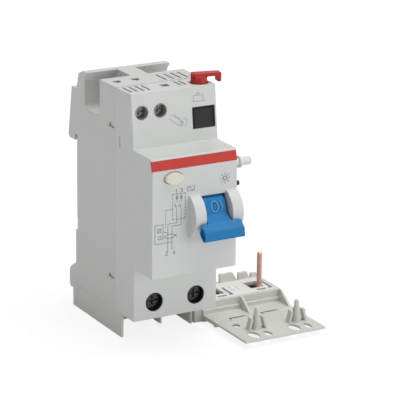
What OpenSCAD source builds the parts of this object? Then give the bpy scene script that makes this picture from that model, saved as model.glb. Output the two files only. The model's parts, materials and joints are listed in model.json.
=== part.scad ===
// Residual current block, two modules wide, with a connection tray for a two-pole breaker.
// X runs across the modules, Y from the front (-) to the rail (+), Z up.
// The origin is the middle of the seat on the DIN rail.

/* [Housing] */
// Width of the housing
body_w = 35; // [34:0.5:38]
// Height of the top above the rail axis
body_rise = 43.4; // [42.5:0.1:46]
// Depth of the lower shoulder's underside below the rail axis
body_drop = 42.8; // [42:0.1:45]
// Rail plane to the shoulders' front faces
face_depth = 45.8; // [45:0.1:49]
// How far the upper shoulder leans back at its top
face_lean = 2.3; // [1:0.1:3]
// Rail plane to the nose's front face
nose_depth = 60.3; // [59:0.1:64]
// Height of the nose's top above the rail axis
nose_rise = 23.1; // [22.5:0.1:24]
// Depth of the nose's underside below the rail axis
nose_drop = 21.9; // [21:0.1:23]
// Rail plane to the seam between front cover and rear housing
seam_depth = 31.9; // [31:0.1:33]
// Thickness of the moulded walls
wall = 1.6; // [1.2:0.1:1.9]

/* [Colour band] */
// Height of the band's lower edge above the rail axis
band_low = 18.8; // [18:0.1:19.4]
// Height of the band
band_h = 3.5; // [2.5:0.1:3.8]
// How far the band leans back at its top
band_lean = 0.9; // [0.4:0.1:1.3]
// How deep the band is let in
band_t = 0.7; // [0.4:0.1:0.9]

/* [Rail seat] */
// Height of the DIN rail
rail_h = 35; // [34.8:0.1:35.2]
// Height of the hook's lower edge above the rail axis
hook_low = 15; // [14:0.1:15.5]
// Height of the hook's upper edge above the rail axis
hook_high = 35.4; // [34:0.1:38]
// How far the hook stands behind the rail plane
hook_reach = 7.2; // [6:0.1:8]
// Width of the hook's slot for the rail's edge
hook_slot = 1.7; // [1.4:0.1:2]
// Depth of the relief in the seat behind the rail's two edges
seat_relief = 0.3; // [0.2:0.1:0.5]
// How far the lower back stands behind the rail plane
back_step = 1.2; // [0.8:0.1:1.5]
// Height of the bridge that guides the clip
bridge_h = 11; // [9:0.5:12]
// Width of the rail clip
clip_w = 14; // [12:0.5:16]
// Thickness of the rail clip
clip_t = 2.6; // [2:0.1:3]
// Travel of the rail clip
clip_travel = 4; // [3:0.1:4.5]

/* [Rear pockets] */
// Rail plane to the front wall of the pockets
pocket_front = 19; // [18:0.1:20]
// Rail plane to the rear wall of the pockets
pocket_back = 6.5; // [6:0.1:8]
// Height of the pockets' floor above the rail axis
pocket_floor = 29.4; // [28:0.1:31]
// Width of the web between the pockets
web_w = 7.4; // [6:0.1:9]
// Offset of the web from the middle
web_x = -1; // [-2:0.1:1]

/* [Toggle] */
// Radius of the toggle's drum
drum_r = 7.6; // [7:0.1:8]
// Width of the drum
drum_w = 9.8; // [9.2:0.1:10.2]
// Distance from the middle of the drum to the housing's right side
drum_side = 10.35; // [10.2:0.05:10.6]
// How far the drum's axis lies behind the nose's face
drum_inset = 5.1; // [4.8:0.1:5.5]
// How far the guard cheeks rise in front of the nose
guard_rise = 5.5; // [5.2:0.1:5.9]
// Height of a guard cheek where it leaves the nose
guard_h = 16.2; // [15.4:0.2:18]
// Thickness of a guard cheek
cheek_w = 4.5; // [3.5:0.1:4.7]
// Width of the toggle's handle bar
bar_w = 16.6; // [14:0.1:18]
// Distance from the drum's axis to the middle of the handle bar
bar_reach = 13.4; // [13.2:0.1:14.5]
// Angle of the handle below the horizontal when off
off_angle = 20.6; // [18:0.1:23]
// Swing of the toggle from off to on
toggle_swing = 50; // [40:1:50]
// Radius of the toggle's shaft
shaft_r = 1.25; // [1:0.05:1.5]

/* [Test button] */
// Distance from the middle of the button to the housing's left side
button_side = 8.7; // [8:0.1:9.5]
// Height of the button above the rail axis
button_z = 15.5; // [14.8:0.1:15.8]
// Width of the button
button_w = 7.4; // [6.6:0.1:8.2]
// Height of the button
button_h = 4.4; // [3.8:0.1:4.7]
// Travel of the button
button_travel = 1.2; // [0.8:0.1:1.4]

/* [Shoulder openings] */
// Radius of the small screw wells
aux_hole_r = 2.6; // [2.4:0.1:2.8]
// Distance between the small screw wells
aux_pitch = 7.6; // [7.2:0.1:8]
// Distance from the first small well to the housing's left side
aux_side = 4.2; // [4.1:0.1:4.5]
// Height of the small wells above the rail axis
aux_z = 36.2; // [35.5:0.1:36.5]
// Width of the accessory window
window_w = 9.3; // [8:0.1:9.4]
// Height of the accessory window
window_h = 8; // [7:0.1:8.5]
// Distance from the middle of the window to the housing's right side
window_side = 5.4; // [5.3:0.1:5.7]
// Height of the window's middle above the rail axis
window_z = 31.8; // [31:0.1:32.2]
// Radius of the terminal screw wells
well_r = 3.6; // [3.4:0.1:3.8]
// Distance between the two poles
pole_pitch = 17.5; // [17:0.1:17.8]
// Height of the terminal screws below the rail axis
well_drop = 36.3; // [36:0.1:36.6]

/* [Terminals] */
// Radius of a terminal screw's head
head_r = 3.1; // [2.8:0.1:3.2]
// Radius of a terminal screw's shank
screw_r = 2; // [1.6:0.1:2.2]
// Depth of a terminal screw's head behind the shoulder's face
head_recess = 2.1; // [1.9:0.1:2.3]
// Clear space for the wire in an open terminal
wire_gap = 4.6; // [4.4:0.1:5]
// Travel of the clamp cage
cage_travel = 2.6; // [2:0.1:2.8]
// Thickness of the cage's steel
cage_t = 1.2; // [1:0.1:1.3]
// Thread pitch of the terminal screws
thread_pitch = 0.8; // [0.7:0.05:1]
// Width and thickness of the copper conductors
bar_t = 2.4; // [2:0.1:2.6]

/* [Link pin] */
// Radius of the link pin
link_r = 1.55; // [1.4:0.05:1.7]
// How far the pin stands out of the housing's side
link_reach = 7.9; // [6:0.1:9]
// Rail plane to the pin's axis
link_depth = 56.3; // [56:0.1:56.8]
// Height of the pin's axis above the rail axis
link_z = 16.6; // [16:0.1:17]
// Swing of the pin when the toggle is turned on
link_swing = 10; // [6:0.5:12]

/* [Locking lever] */
// Distance from the lever's pivot to the housing's right side
lever_side = 4.4; // [4.4:0.1:5.2]
// Rail plane to the lever's pivot
lever_depth = 39; // [38.4:0.1:39.2]
// Radius of the lever's boss
lever_boss_r = 3.2; // [2.8:0.1:3.3]
// Length of the lever's arm from the pivot
lever_len = 8.1; // [7.6:0.1:9]
// Width of the lever's arm
lever_w = 3.8; // [3.2:0.1:4.2]
// Thickness of the lever's arm
lever_t = 1.3; // [1.1:0.1:1.6]
// Angle that the arm points ahead of the housing's side at rest
lever_ahead = 13; // [8:1:16]

/* [Connection tray] */
// Length of the tray beyond the housing, two modules
tray_reach = 35; // [34.5:0.1:37]
// Height of the tray
tray_h = 9.3; // [9.2:0.1:11]
// Rail plane to the tray's front wall
tray_front = 35.8; // [35.4:0.1:36.5]
// Rail plane to the back of the tray's extension
tray_back = 18; // [17:0.1:18.5]
// How far the tray's top lies below the housing
tray_step = 1.7; // [1.4:0.1:1.9]
// Thickness of the tray's walls
tray_wall = 1.4; // [1.2:0.1:1.6]
// Height of the rear guide teeth
tooth_h = 3.4; // [2.5:0.1:4.5]
// Thickness of the gussets
gusset_t = 1; // [0.8:0.1:1.4]
// Radius of a breaker prong
prong_r = 1; // [0.8:0.05:1.1]
// Height of a breaker prong above the tray
prong_h = 13.8; // [12:0.1:16]
// Distance from the outer prong to the tray's end
prong_side = 5.8; // [5.5:0.1:6.5]

/* [Screw flap] */
// Length of the flap from its hinge to its free edge
flap_len = 23.6; // [22:0.1:26]
// Thickness of the flap
flap_t = 0.8; // [0.7:0.1:1]
// Rail plane to the flap's hinge
hinge_depth = 45.2; // [45:0.1:46]
// Radius of the hinge knuckles
knuckle_r = 1.1; // [1:0.05:1.2]
// Radius of the hinge pin
pin_r = 0.5; // [0.4:0.05:0.6]
// Height of the sealing pegs
peg_h = 8.7; // [8:0.1:10]
// Radius of the sealing pegs at the top
peg_r = 0.95; // [0.8:0.05:1.1]

/* [Sensing and tripping] */
// Outer radius of the current transformer's case
ring_r = 15.1; // [14:0.05:15.1]
// Height of the current transformer's case
ring_h = 14; // [12:0.5:15]
// Height of the case's middle below the rail axis
ring_drop = 8; // [7:0.5:9]
// Travel of the trip relay's plunger
plunger_travel = 1.5; // [1:0.1:1.6]

/* [Hidden] */
$fn = 48;

// Colours
light_grey = [0.80, 0.81, 0.81];
pale_grey = [0.88, 0.88, 0.87];
warm_grey = [0.76, 0.76, 0.74];
red = [0.78, 0.22, 0.18];
blue = [0.16, 0.45, 0.74];
cream = [0.88, 0.87, 0.79];
black = [0.10, 0.10, 0.11];
steel = [0.66, 0.67, 0.69];
copper = [0.75, 0.42, 0.33];
brass = [0.80, 0.68, 0.38];
board_green = [0.13, 0.38, 0.24];
tan_plastic = [0.72, 0.62, 0.45];

// Clearances
fit_gap = 0.05; // radial gap of a pin that turns in a bore
slide_gap = 0.2; // gap each side of a piece that slides or swings
part_gap = 0.3; // gap between neighbouring pieces that don't touch
cut = 1; // how far a cutting shape runs past the surface it opens
side_x = body_w / 2;
inner_x = side_x - wall;
drum_x = side_x - drum_side;
button_x = -side_x + button_side;
aux_x = -side_x + aux_side;
window_x = side_x - window_side;
lever_x = side_x - lever_side;

// Planes of the front, as Y values
seam_y = -seam_depth;
face_y = -face_depth;
nose_y = -nose_depth;
face_top_y = face_y + face_lean;
low_face_y = face_y - 0.5;
band_high = band_low + band_h;
lip_y = nose_y + band_lean + 0.2;
coding_z = 9.4;
vent_w = 0.8;

// Toggle
drum_y = nose_y + drum_inset;
drum_z = 0;
drum_left = drum_x - drum_w / 2;
drum_right = drum_x + drum_w / 2;
opening_l = drum_left - slide_gap;
opening_r = drum_right + 0.9;
opening_h = 2 * (drum_r - 0.6);
guard_l = opening_l - cheek_w;
guard_r = (guard_h * guard_h / 4 + guard_rise * guard_rise) / (2 * guard_rise);
guard_y = nose_y - guard_rise + guard_r;
bar_x = (guard_l + side_x) / 2;
bar_y = -bar_reach * cos(off_angle);
bar_z = -bar_reach * sin(off_angle);
crank_r = 4;

// Mechanism between its two steel plates
plate_t = 1.2;
plate_l = drum_left - 0.5 - plate_t;
plate_r = opening_r + 0.3;
plate_rr = plate_r + plate_t;
lever_plate_l = plate_rr + 0.15;
lever_plate_r = inner_x - 0.15;
frame_low = -9;
frame_high = 17;
frame_front = nose_y + wall + 0.4;
pivot_y = -link_depth + 7.3;
pivot_z = link_z - 6.1;
pivot_r = 1;
latch_y = -46;
latch_z = 4;
latch_x = plate_l - part_gap - 1.2;
latch_plate = 1.4;

// Inner carrier behind the mechanism
carrier_t = 1.6;
carrier_y = seam_y - carrier_t;
carrier_low = -24;
carrier_high = 22;
board_t = 1.2;
board_y = -50;
board_l = -inner_x + 0.4;
board_r = plate_l - 3.4;
board_low = 3;
board_high = 21.2;
post_r = 1.5;

// Test button
flange_y = nose_y + wall + 0.1;
flange_t = 1;
flange_h = button_h + 0.9;
button_at = min(button_z, band_low - 0.4 - flange_h / 2);
stem_r = 1.1;
switch_h = 2.9;
switch_y = board_y - switch_h;
button_proud = 1.5;

// Relay on the carrier
relay_low = -17;
relay_high = -1;
relay_w = plate_l + inner_x - 5.45;
relay_x = -inner_x + 1.8 + relay_w / 2;
coil_r = relay_w / 2 - 0.9;
relay_y = carrier_y - 1.4 - coil_r - 0.5;
plunger_r = 1;

// Leads from the transformer to the relay
lead_x = 2.95 - plate_l;
lead_d = 0.7;
shelf_z = latch_z + 5;

// Current transformer
case_r = min(ring_r, (seam_depth - wall) / 2 - fit_gap, inner_x - slide_gap);
ring_y = -wall - fit_gap - case_r;
ring_low = -ring_drop - ring_h / 2;
core_in = 8.6;
core_out = case_r - 2.7;
core_h = 9;
core_low = ring_low + 2.6;
sleeve_in = 6.2;

// Wire terminals
pole_x = pole_pitch / 2;
well_z = -well_drop;
head_y = low_face_y + head_recess;
head_t = 2;
cage_front = head_y + head_t + 0.2 + cage_travel;
tab_y = cage_front + cage_t + 1.8;
tab_t = 1.4;
cage_rear = tab_y + tab_t + wire_gap;
cage_half = 4.5;
cage_low = well_z - 4.4;
cage_high = well_z + 4.4;
bus_z = cage_high + 0.4 + bar_t / 2;
tube_t = 1;
wire_w = 6.4;
wire_low_y = tab_y + tab_t;
wire_high_y = cage_rear - 0.1;

// Small terminals
aux_block_y = -36.5;
aux_block_end = -21.4;
aux_block_w = 5.6;
aux_head_y = face_top_y + 2.1;
aux_wire_y = -24.8;
aux_tube_y = -40.4;

// Rail clip
rail_low = -rail_h / 2;
clip_low = -51.4;
clip_lip = 2;
clip_y = back_step + 0.1;
back_low = rail_low - 3.1;
seat_low = rail_low + clip_lip + part_gap;
seat_high = hook_low - part_gap;
bridge_top = -34;
bridge_low = bridge_top - bridge_h;
clip_window = 9;
clip_spring_top = -22.5;
clip_lug_z = clip_spring_top - 8.9;

// Connection tray
tray_low = -body_drop - tray_h;
tray_top = -body_drop - tray_step;
tray_right = side_x + tray_reach;
tray_y = -tray_front;
tray_rear = 4;
floor_t = 1.6;
cover_t = 1.4;
bay_end = -20;
bay_right = pole_x + wire_w / 2 + 0.4;
skirt_t = 1.1;
run_z = tray_low + floor_t + 0.5 + bar_t / 2;
prong_y = -28.9;
left_prong_x = side_x + pole_x;
right_prong_x = tray_right - prong_side;
prong_base = prong_r + 0.25;
cover_wells = [left_prong_x + 2.95, right_prong_x];
flap_z = -49.1;
hinge_y = -hinge_depth;
hinge_z = flap_z - knuckle_r;
flap_l = side_x + 0.1;
flap_r = tray_right - 0.3;
peg_y = hinge_y - 13.2;
peg_spots = [side_x + 10.7, tray_right - 6.8];
leg_h = 4.7;
cone_h = 5.6;
// Tray screws: places, in the housing's floor
screw_spots = [[-side_x + 5.5, -5], [-side_x + 5.5, -15], [4, -9]];
tray_screw_r = 1.25;

// A box between two corners
module span(x0, x1, y0, y1, z0, z1) {
    translate([x0, y0, z0]) cube([x1 - x0, y1 - y0, z1 - z0]);
}

// Round bars along each axis
module rod_x(y, z, r, x0, x1) {
    translate([x0, y, z]) rotate([0, 90, 0]) cylinder(r = r, h = x1 - x0);
}
module rod_y(x, z, r, y0, y1) {
    translate([x, y0, z]) rotate([-90, 0, 0]) cylinder(r = r, h = y1 - y0);
}
module rod_z(x, y, r, z0, z1) {
    translate([x, y, z0]) cylinder(r = r, h = z1 - z0);
}

// A profile drawn in (Y, Z) and drawn out along X
module along_x(x0, x1) {
    translate([x0, 0, 0]) rotate([90, 0, 90]) linear_extrude(x1 - x0) children();
}

// An outline drawn in (X, Z) and drawn out along Y
module along_y(y0, y1) {
    translate([0, y1, 0]) rotate([90, 0, 0]) linear_extrude(y1 - y0) children();
}

// An oval outline with bowed long sides, width w and height h, lying along X
module oval(w, h) {
    bow_r = 1.18 * (w * w + h * h) / (4 * h);
    intersection() {
        union() {
            square([w - h, h], center = true);
            for (side = [-1, 1]) translate([side * (w - h) / 2, 0]) circle(d = h);
        }
        translate([0, bow_r - h / 2]) circle(r = bow_r);
        translate([0, h / 2 - bow_r]) circle(r = bow_r);
    }
}

// A helical spring along Z with closed ends, from z = 0 to z = len
module coil_spring(r, wire, turns, len) {
    steps = 16;
    sides = 6;
    rings = turns * steps;
    rise = len - wire;
    points = [
        for (i = [0:rings], k = [0:sides - 1])
            let (a = 360 * i / steps, b = 360 * k / sides, out = r + wire / 2 * cos(b))
                [out * cos(a), out * sin(a), wire / 2 + rise * i / rings + wire / 2 * sin(b)]
    ];
    skin = [
        for (i = [0:rings - 1], k = [0:sides - 1])
            let (n = (k + 1) % sides)
                [i * sides + k, (i + 1) * sides + k, (i + 1) * sides + n, i * sides + n]
    ];
    near_cap = [for (k = [0:sides - 1]) k];
    far_cap = [for (k = [0:sides - 1]) rings * sides + sides - 1 - k];
    polyhedron(points, concat(skin, [near_cap, far_cap]), convexity = 10);
}

// A square copper bar through a list of corners, one axis at a time
module bar_run(corners, t) {
    for (i = [0:len(corners) - 2]) {
        lo = [for (k = [0:2]) min(corners[i][k], corners[i + 1][k]) - t / 2];
        hi = [for (k = [0:2]) max(corners[i][k], corners[i + 1][k]) + t / 2];
        translate(lo) cube(hi - lo);
    }
}

// Outlines of the front, in (Y, Z)
module front_outline() {
    polygon([
        [seam_y, body_rise], [face_top_y, body_rise], [face_y, nose_rise], [lip_y, nose_rise],
        [nose_y + band_lean, band_high], [nose_y, band_low], [nose_y, -nose_drop],
        [low_face_y, -nose_drop], [low_face_y, -body_drop], [seam_y, -body_drop]
    ]);
}
module front_cavity() {
    polygon([
        [seam_y + cut, body_rise - wall], [face_top_y + wall, body_rise - wall],
        [face_y + wall, nose_rise - wall], [lip_y + wall, nose_rise - wall],
        [nose_y + band_lean + wall, band_high - wall], [nose_y + band_t + wall, band_low],
        [nose_y + wall, band_low - 0.3], [nose_y + wall, -nose_drop + wall],
        [low_face_y + wall, -nose_drop + wall], [low_face_y + wall, -body_drop + wall],
        [seam_y + cut, -body_drop + wall]
    ]);
}
module band_outline() {
    polygon([
        [nose_y, band_low], [nose_y + band_lean, band_high],
        [nose_y + band_lean + band_t, band_high], [nose_y + band_t, band_low]
    ]);
}

// Outline of the wire entries, in (X, Y), one for each pole
module wire_entries(z0, z1) {
    for (side = [-1, 1])
        span(side * pole_x - wire_w / 2, side * pole_x + wire_w / 2, wire_low_y, wire_high_y, z0, z1);
}

// Snap hooks that hold the cover: height and side
snap_heights = [28.4, -30];
module snap_hooks() {
    for (side = [-1, 1], z = snap_heights) {
        root = side * (inner_x + wall / 2);
        x_in = side * (inner_x - 1.1);
        x_out = side * (inner_x - 0.1);
        tip = side * (side_x - 0.4);
        span(min(x_in, root), max(x_in, root), seam_y - 4, seam_y, z - 2, z + 2);
        span(min(x_in, x_out), max(x_in, x_out), seam_y - 1, seam_y + 4.7, z - 2, z + 2);
        span(min(x_in, tip), max(x_in, tip), seam_y + 1.5, seam_y + 4.7, z - 0.6, z + 0.6);
    }
}
module snap_windows() {
    for (side = [-1, 1], z = snap_heights)
        translate([side * side_x, seam_y + 3.25, z]) cube([wall * 4, 4.2, 1.6], center = true);
}

// The arc slot that the link pin moves in
module link_slot() {
    for (turn = [0, link_swing / 2, link_swing])
        translate([0, pivot_y, pivot_z]) rotate([-turn, 0, 0]) translate([0, -pivot_y, -pivot_z])
            rod_x(-link_depth, link_z, link_r + 0.35, inner_x - cut, side_x + cut);
}

module front_cover() {
    color(light_grey) difference() {
        union() {
            difference() {
                union() {
                    along_x(-side_x, side_x) front_outline();
                    guard_cheeks();
                }
                along_x(-inner_x, inner_x) front_cavity();
            }
            screw_tubes();
            lever_seat();
            snap_hooks();
            // Ribs that hold the mechanism's plates
            for (x = [plate_l - 1.2, plate_rr - plate_t - 1.2])
                span(x, x + 1.2, nose_y + wall - 0.2, frame_front + 3, frame_high - 3, frame_high - 0.4);
        }
        // Toggle opening
        span(opening_l, opening_r, nose_y - guard_rise - cut, drum_y, -opening_h / 2, opening_h / 2);
        // Band seat, button hole, coding peg hole
        along_x(-side_x - cut, side_x + cut) band_outline();
        along_y(nose_y - cut, nose_y + wall + cut)
            translate([button_x, button_at]) oval(button_w + 0.4, button_h + 0.4);
        rod_x(nose_y + 1.9, coding_z, 0.9, inner_x - cut, side_x + cut);
        // Small wells and the window
        for (i = [0, 1])
            rod_y(aux_x + i * aux_pitch, aux_z, aux_hole_r, face_y - cut, aux_tube_y + cut);
        on_upper_face() span(-window_w / 2, window_w / 2, -cut, wall + cut, -window_h / 2, window_h / 2);
        // Terminal screw wells and wire entries
        for (side = [-1, 1])
            rod_y(side * pole_x, well_z, well_r, low_face_y - cut, cage_front - cage_travel);
        wire_entries(-body_drop - cut, -body_drop + wall + cut);
        // Pocket and pin hole of the locking lever
        rod_z(lever_x, -lever_depth, lever_boss_r + slide_gap, body_rise - 1.4, body_rise + cut);
        rod_z(lever_x, -lever_depth, 1.2, body_rise - 6.6, body_rise);
        // Vent slots and the tool hole in the top
        for (d = [2.1, 4.5, 7.1, 9.6])
            top_slot(d - side_x - vent_w / 2, d - side_x + vent_w / 2, face_top_y + 3.1, seam_y - 1.3);
        for (d = [12.1, 10])
            top_slot(side_x - d - vent_w / 2, side_x - d + vent_w / 2, face_top_y + 3.9, seam_y - 1.5);
        // Groove along the top of the seam
        span(-side_x - cut, side_x + cut, seam_y - 0.3, seam_y + cut, body_rise - 0.5, body_rise + cut);
        top_slot(side_x - 19.1, side_x - 16, seam_y - 6.5, seam_y - 3.1);
        link_slot();
        // Grooves where the side's catches sit
        for (side = [-1, 1]) translate([side * side_x, seam_y - 3.2, 23.6])
            cube([1.4, 0.6, 4.2], center = true);
    }
}

// The guard's two cheeks in front of the nose
module guard_cheeks() {
    difference() {
        rod_x(guard_y, drum_z, guard_r, guard_l, side_x);
        span(guard_l - cut, side_x + cut, nose_y + wall, guard_y + guard_r + cut, -guard_r - cut,
            guard_r + cut);
        span(opening_l, opening_r, nose_y - guard_rise - cut, nose_y, -guard_r - cut, guard_r + cut);
    }
}

// An opening through the top wall
module top_slot(x0, x1, y0, y1) {
    span(x0, x1, y0, y1, body_rise - wall - cut, body_rise + cut);
}

// The frame of the window: its middle, tilted as the upper face is
module on_upper_face() {
    tilt = atan(face_lean / (body_rise - nose_rise));
    y = face_y + face_lean * (window_z - nose_rise) / (body_rise - nose_rise);
    translate([window_x, y, window_z]) rotate([-tilt, 0, 0]) children();
}

module screw_tubes() {
    for (i = [0, 1]) difference() {
        rod_y(aux_x + i * aux_pitch, aux_z, aux_hole_r + 0.9, face_y + wall + 0.5, aux_tube_y);
        rod_y(aux_x + i * aux_pitch, aux_z, aux_hole_r, face_y, aux_tube_y + cut);
    }
    for (side = [-1, 1]) difference() {
        rod_y(side * pole_x, well_z, well_r + tube_t, low_face_y + wall / 2, cage_front - cage_travel - 0.4);
        rod_y(side * pole_x, well_z, well_r, low_face_y, cage_front);
    }
}

// The post under the locking lever, which takes its pin
module lever_seat() {
    rod_z(lever_x, -lever_depth, lever_boss_r + slide_gap + 0.9, body_rise - 2.6, body_rise - wall / 2);
    rod_z(lever_x, -lever_depth, 2.4, body_rise - 7, body_rise - 2);
}

module colour_band() {
    color(red) along_x(-side_x, side_x) band_outline();
}

module window_plug() {
    half_w = window_w / 2;
    half_h = window_h / 2;
    rim = 0.6;
    color(black) on_upper_face() {
        difference() {
            span(-half_w, half_w, -0.1, wall + 0.4, -half_h, half_h);
            span(rim - half_w, half_w - rim, -cut, 0.35, rim - half_h, half_h - rim);
        }
        for (x = [2 - half_w, half_w - 3]) span(x, x + 1, wall + 0.2, wall + 3, -1.5, 1.5);
    }
}

module coding_peg() {
    color(black) rod_x(nose_y + 1.9, coding_z, 0.9, inner_x, side_x + 1.7);
}

// The bridge behind the lower back, which guides the clip
module bridge_outline() {
    polygon([
        [-0.5, bridge_top], [1.4, bridge_top], [6, bridge_top - 3], [6.8, bridge_top - 4.6],
        [6.8, bridge_low + 0.8], [6, bridge_low], [0, bridge_low], [0, -body_drop], [-0.5, -body_drop]
    ]);
}

// Rear housing: the back of the case, with the pockets, the hook and the clip's bridge
module rear_outline() {
    polygon([
        [seam_y, body_rise], [-5.2, body_rise], [-1.6, body_rise - 1.6], [0, hook_high + 1],
        [0, back_low], [back_step, back_low], [back_step, -body_drop], [seam_y, -body_drop]
    ]);
}
module hook_outline() {
    polygon([
        [-0.5, hook_high], [hook_reach - 2.9, hook_high], [hook_reach, hook_low + 1],
        [hook_reach - 1, hook_low], [hook_slot, hook_low], [hook_slot, hook_low + 2.5],
        [0, hook_low + 2.5], [-0.5, hook_low + 3]
    ]);
}
module rear_cavity() {
    polygon([
        [seam_y - cut, body_rise - wall], [-pocket_front - wall, body_rise - wall],
        [-pocket_front - wall, pocket_floor - wall], [-wall, pocket_floor - wall],
        [-wall, -body_drop + wall], [seam_y - cut, -body_drop + wall]
    ]);
}
// A pocket open at the top, its rear corner rounded at the floor
module pocket_outline() {
    round_r = 2;
    difference() {
        polygon([
            [-pocket_front, body_rise + cut], [-pocket_front, pocket_floor], [-pocket_back, pocket_floor],
            [-pocket_back, body_rise - 3], [-pocket_back - 2.2, body_rise],
            [-pocket_back - 2.2, body_rise + cut]
        ]);
        difference() {
            translate([-pocket_back - round_r, pocket_floor]) square([round_r, round_r]);
            translate([-pocket_back - round_r, pocket_floor + round_r]) circle(r = round_r);
        }
    }
}
module rear_housing() {
    bridge_y = clip_y + clip_t + slide_gap;
    color(light_grey) difference() {
        union() {
            along_x(-side_x, side_x) rear_outline();
            along_x(-side_x, side_x) hook_outline();
            along_x(-side_x, side_x) bridge_outline();
        }
        difference() {
            along_x(-inner_x, inner_x) rear_cavity();
            // Ribs under the current transformer and behind the carrier
            for (side = [-1, 1]) {
                x = side * (inner_x - 2);
                span(x - 2, x + 2, ring_y - 4, ring_y + 4, ring_low - 1.4, ring_low);
            }
            for (spot = screw_spots) rod_z(spot[0], spot[1], 2.6, -body_drop, -body_drop + 6.4);
            // Shelf under the small terminal blocks
            span(-inner_x - cut, aux_x + aux_pitch + 4, seam_y, -pocket_front, aux_z - aux_block_w / 2 - 1.2,
                aux_z - aux_block_w / 2);
        }
        along_x(-side_x - cut, web_x - web_w / 2) pocket_outline();
        along_x(web_x + web_w / 2, side_x + cut) pocket_outline();
        // Relief of the rail's seat behind the clip's lip and the hook's lip
        span(-side_x - cut, side_x + cut, -seat_relief, cut, back_low, seat_low);
        span(-side_x - cut, side_x + cut, -seat_relief, hook_slot, seat_high, hook_low + 2.5);
        // Channel of the rail clip through the bridge, and the seat of its spring
        span(-clip_w / 2 - slide_gap, clip_w / 2 + slide_gap, back_step, bridge_y, bridge_low - cut,
            bridge_top + cut);
        snap_windows();
        wire_entries(-body_drop - cut, -body_drop + wall + cut);
        // Holes for the tray's screws
        for (spot = screw_spots) rod_z(spot[0], spot[1], tray_screw_r, -body_drop - cut, -body_drop + 5.4);
        // Holes for the conductors in the floor
        for (drop = [left_drop, right_drop])
            span(drop[0] - bar_t / 2 - 0.3, drop[0] + bar_t / 2 + 0.3, drop[1] - bar_t / 2 - 0.3,
                drop[1] + bar_t / 2 + 0.3, -body_drop - cut, -body_drop + wall + cut);
        // Wire holes of the small terminals and the vent slots
        for (i = [0, 1]) translate([aux_x + i * aux_pitch, aux_wire_y, body_rise]) aux_wire_hole();
        for (d = [4.3, 7.1, 10.1, 13.3])
            top_slot(side_x - d - vent_w / 2, side_x - d + vent_w / 2, seam_y + 1.5, -pocket_front - 3);
    }
    // The lug that the clip's spring pushes against
    color(light_grey)
        span(-1.6, 1.6, back_step - 0.4, clip_y + clip_t - 0.2, clip_lug_z - 1.6, clip_lug_z);
}
module aux_wire_hole() {
    translate([0, 0, -wall - cut]) linear_extrude(wall + 2 * cut) {
        circle(r = 1.5);
        translate([-1.5, 0]) square([3, 1.6]);
    }
}

// Toggle: drum, stem and handle bar
bar_section = [[1.3, 3.2], [-1.8, 0.7], [-2.3, -2.5], [-0.4, -3.2], [2.6, -0.6]];
bar_hollow = [[0.9, 2], [-1.1, 0.3], [-1.5, -2], [-0.5, -2.4], [1.7, -0.5]];
module toggle() {
    section = [for (p = bar_section) [drum_y + bar_y + p[0], drum_z + bar_z + p[1]]];
    hollow = [for (p = bar_hollow) [drum_y + bar_y + p[0], drum_z + bar_z + p[1]]];
    bar_l = bar_x - bar_w / 2;
    bar_r = bar_x + bar_w / 2;
    color(blue) difference() {
        union() {
            rod_x(drum_y, drum_z, drum_r, drum_left, drum_right);
            along_x(drum_left, drum_right) polygon([
                [drum_y - 4.8, drum_z + 1.6], section[0], section[4], [drum_y - 4.8, drum_z - 5.2]
            ]);
            along_x(bar_l, bar_r) polygon(section);
        }
        // Moulded hollows in the bar's two ends
        along_x(bar_l - cut, bar_l + 1.2) polygon(hollow);
        along_x(bar_r - 1.2, bar_r + cut) polygon(hollow);
        rod_x(drum_y, drum_z, shaft_r, drum_left - cut, drum_right + cut);
    }
}
module toggle_shaft() {
    color(steel) rod_x(drum_y, drum_z, shaft_r, plate_l - 4.4, lever_plate_r);
}
module toggle_cam() {
    color(steel) difference() {
        union() {
            rod_x(drum_y, drum_z, 2.6, lever_plate_l, lever_plate_r);
            along_x(lever_plate_l, lever_plate_r) polygon([
                [drum_y - 1.6, drum_z + 2], [drum_y + 0.6, drum_z + crank_r],
                [drum_y + 2, drum_z + crank_r - 0.6], [drum_y + 2.4, drum_z + 1]
            ]);
        }
        rod_x(drum_y, drum_z, shaft_r, lever_plate_l - cut, lever_plate_r + cut);
    }
}
// Torsion spring on the shaft, outside the left plate
module toggle_spring() {
    color(steel) translate([plate_l - 3.8, drum_y, drum_z]) rotate([0, 90, 0])
        coil_spring(shaft_r + 0.7, 0.5, 4, 3.4);
}

// The steel plates that carry the toggle, the trip lever and the latch
module frame_plate_outline() {
    polygon([
        [frame_front, frame_low + 3], [frame_front + 3, frame_low], [carrier_y, frame_low],
        [carrier_y, frame_high - 6], [frame_front + 8, frame_high], [frame_front, frame_high]
    ]);
}
module mechanism_frame() {
    color(steel) difference() {
        union() {
            for (x = [plate_l, plate_r]) along_x(x, x + plate_t) frame_plate_outline();
            span(plate_l, plate_rr, carrier_y - plate_t, carrier_y, frame_low, frame_low + 5);
            span(plate_l, plate_rr, carrier_y - plate_t, carrier_y, frame_high - 10, frame_high - 6);
        }
        rod_x(drum_y, drum_z, shaft_r + fit_gap, plate_l - cut, plate_rr + cut);
        rod_x(pivot_y, pivot_z, pivot_r, plate_r - cut, plate_rr + cut);
        rod_x(latch_y, latch_z, pivot_r, plate_l - cut, plate_rr + cut);
    }
}

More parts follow.
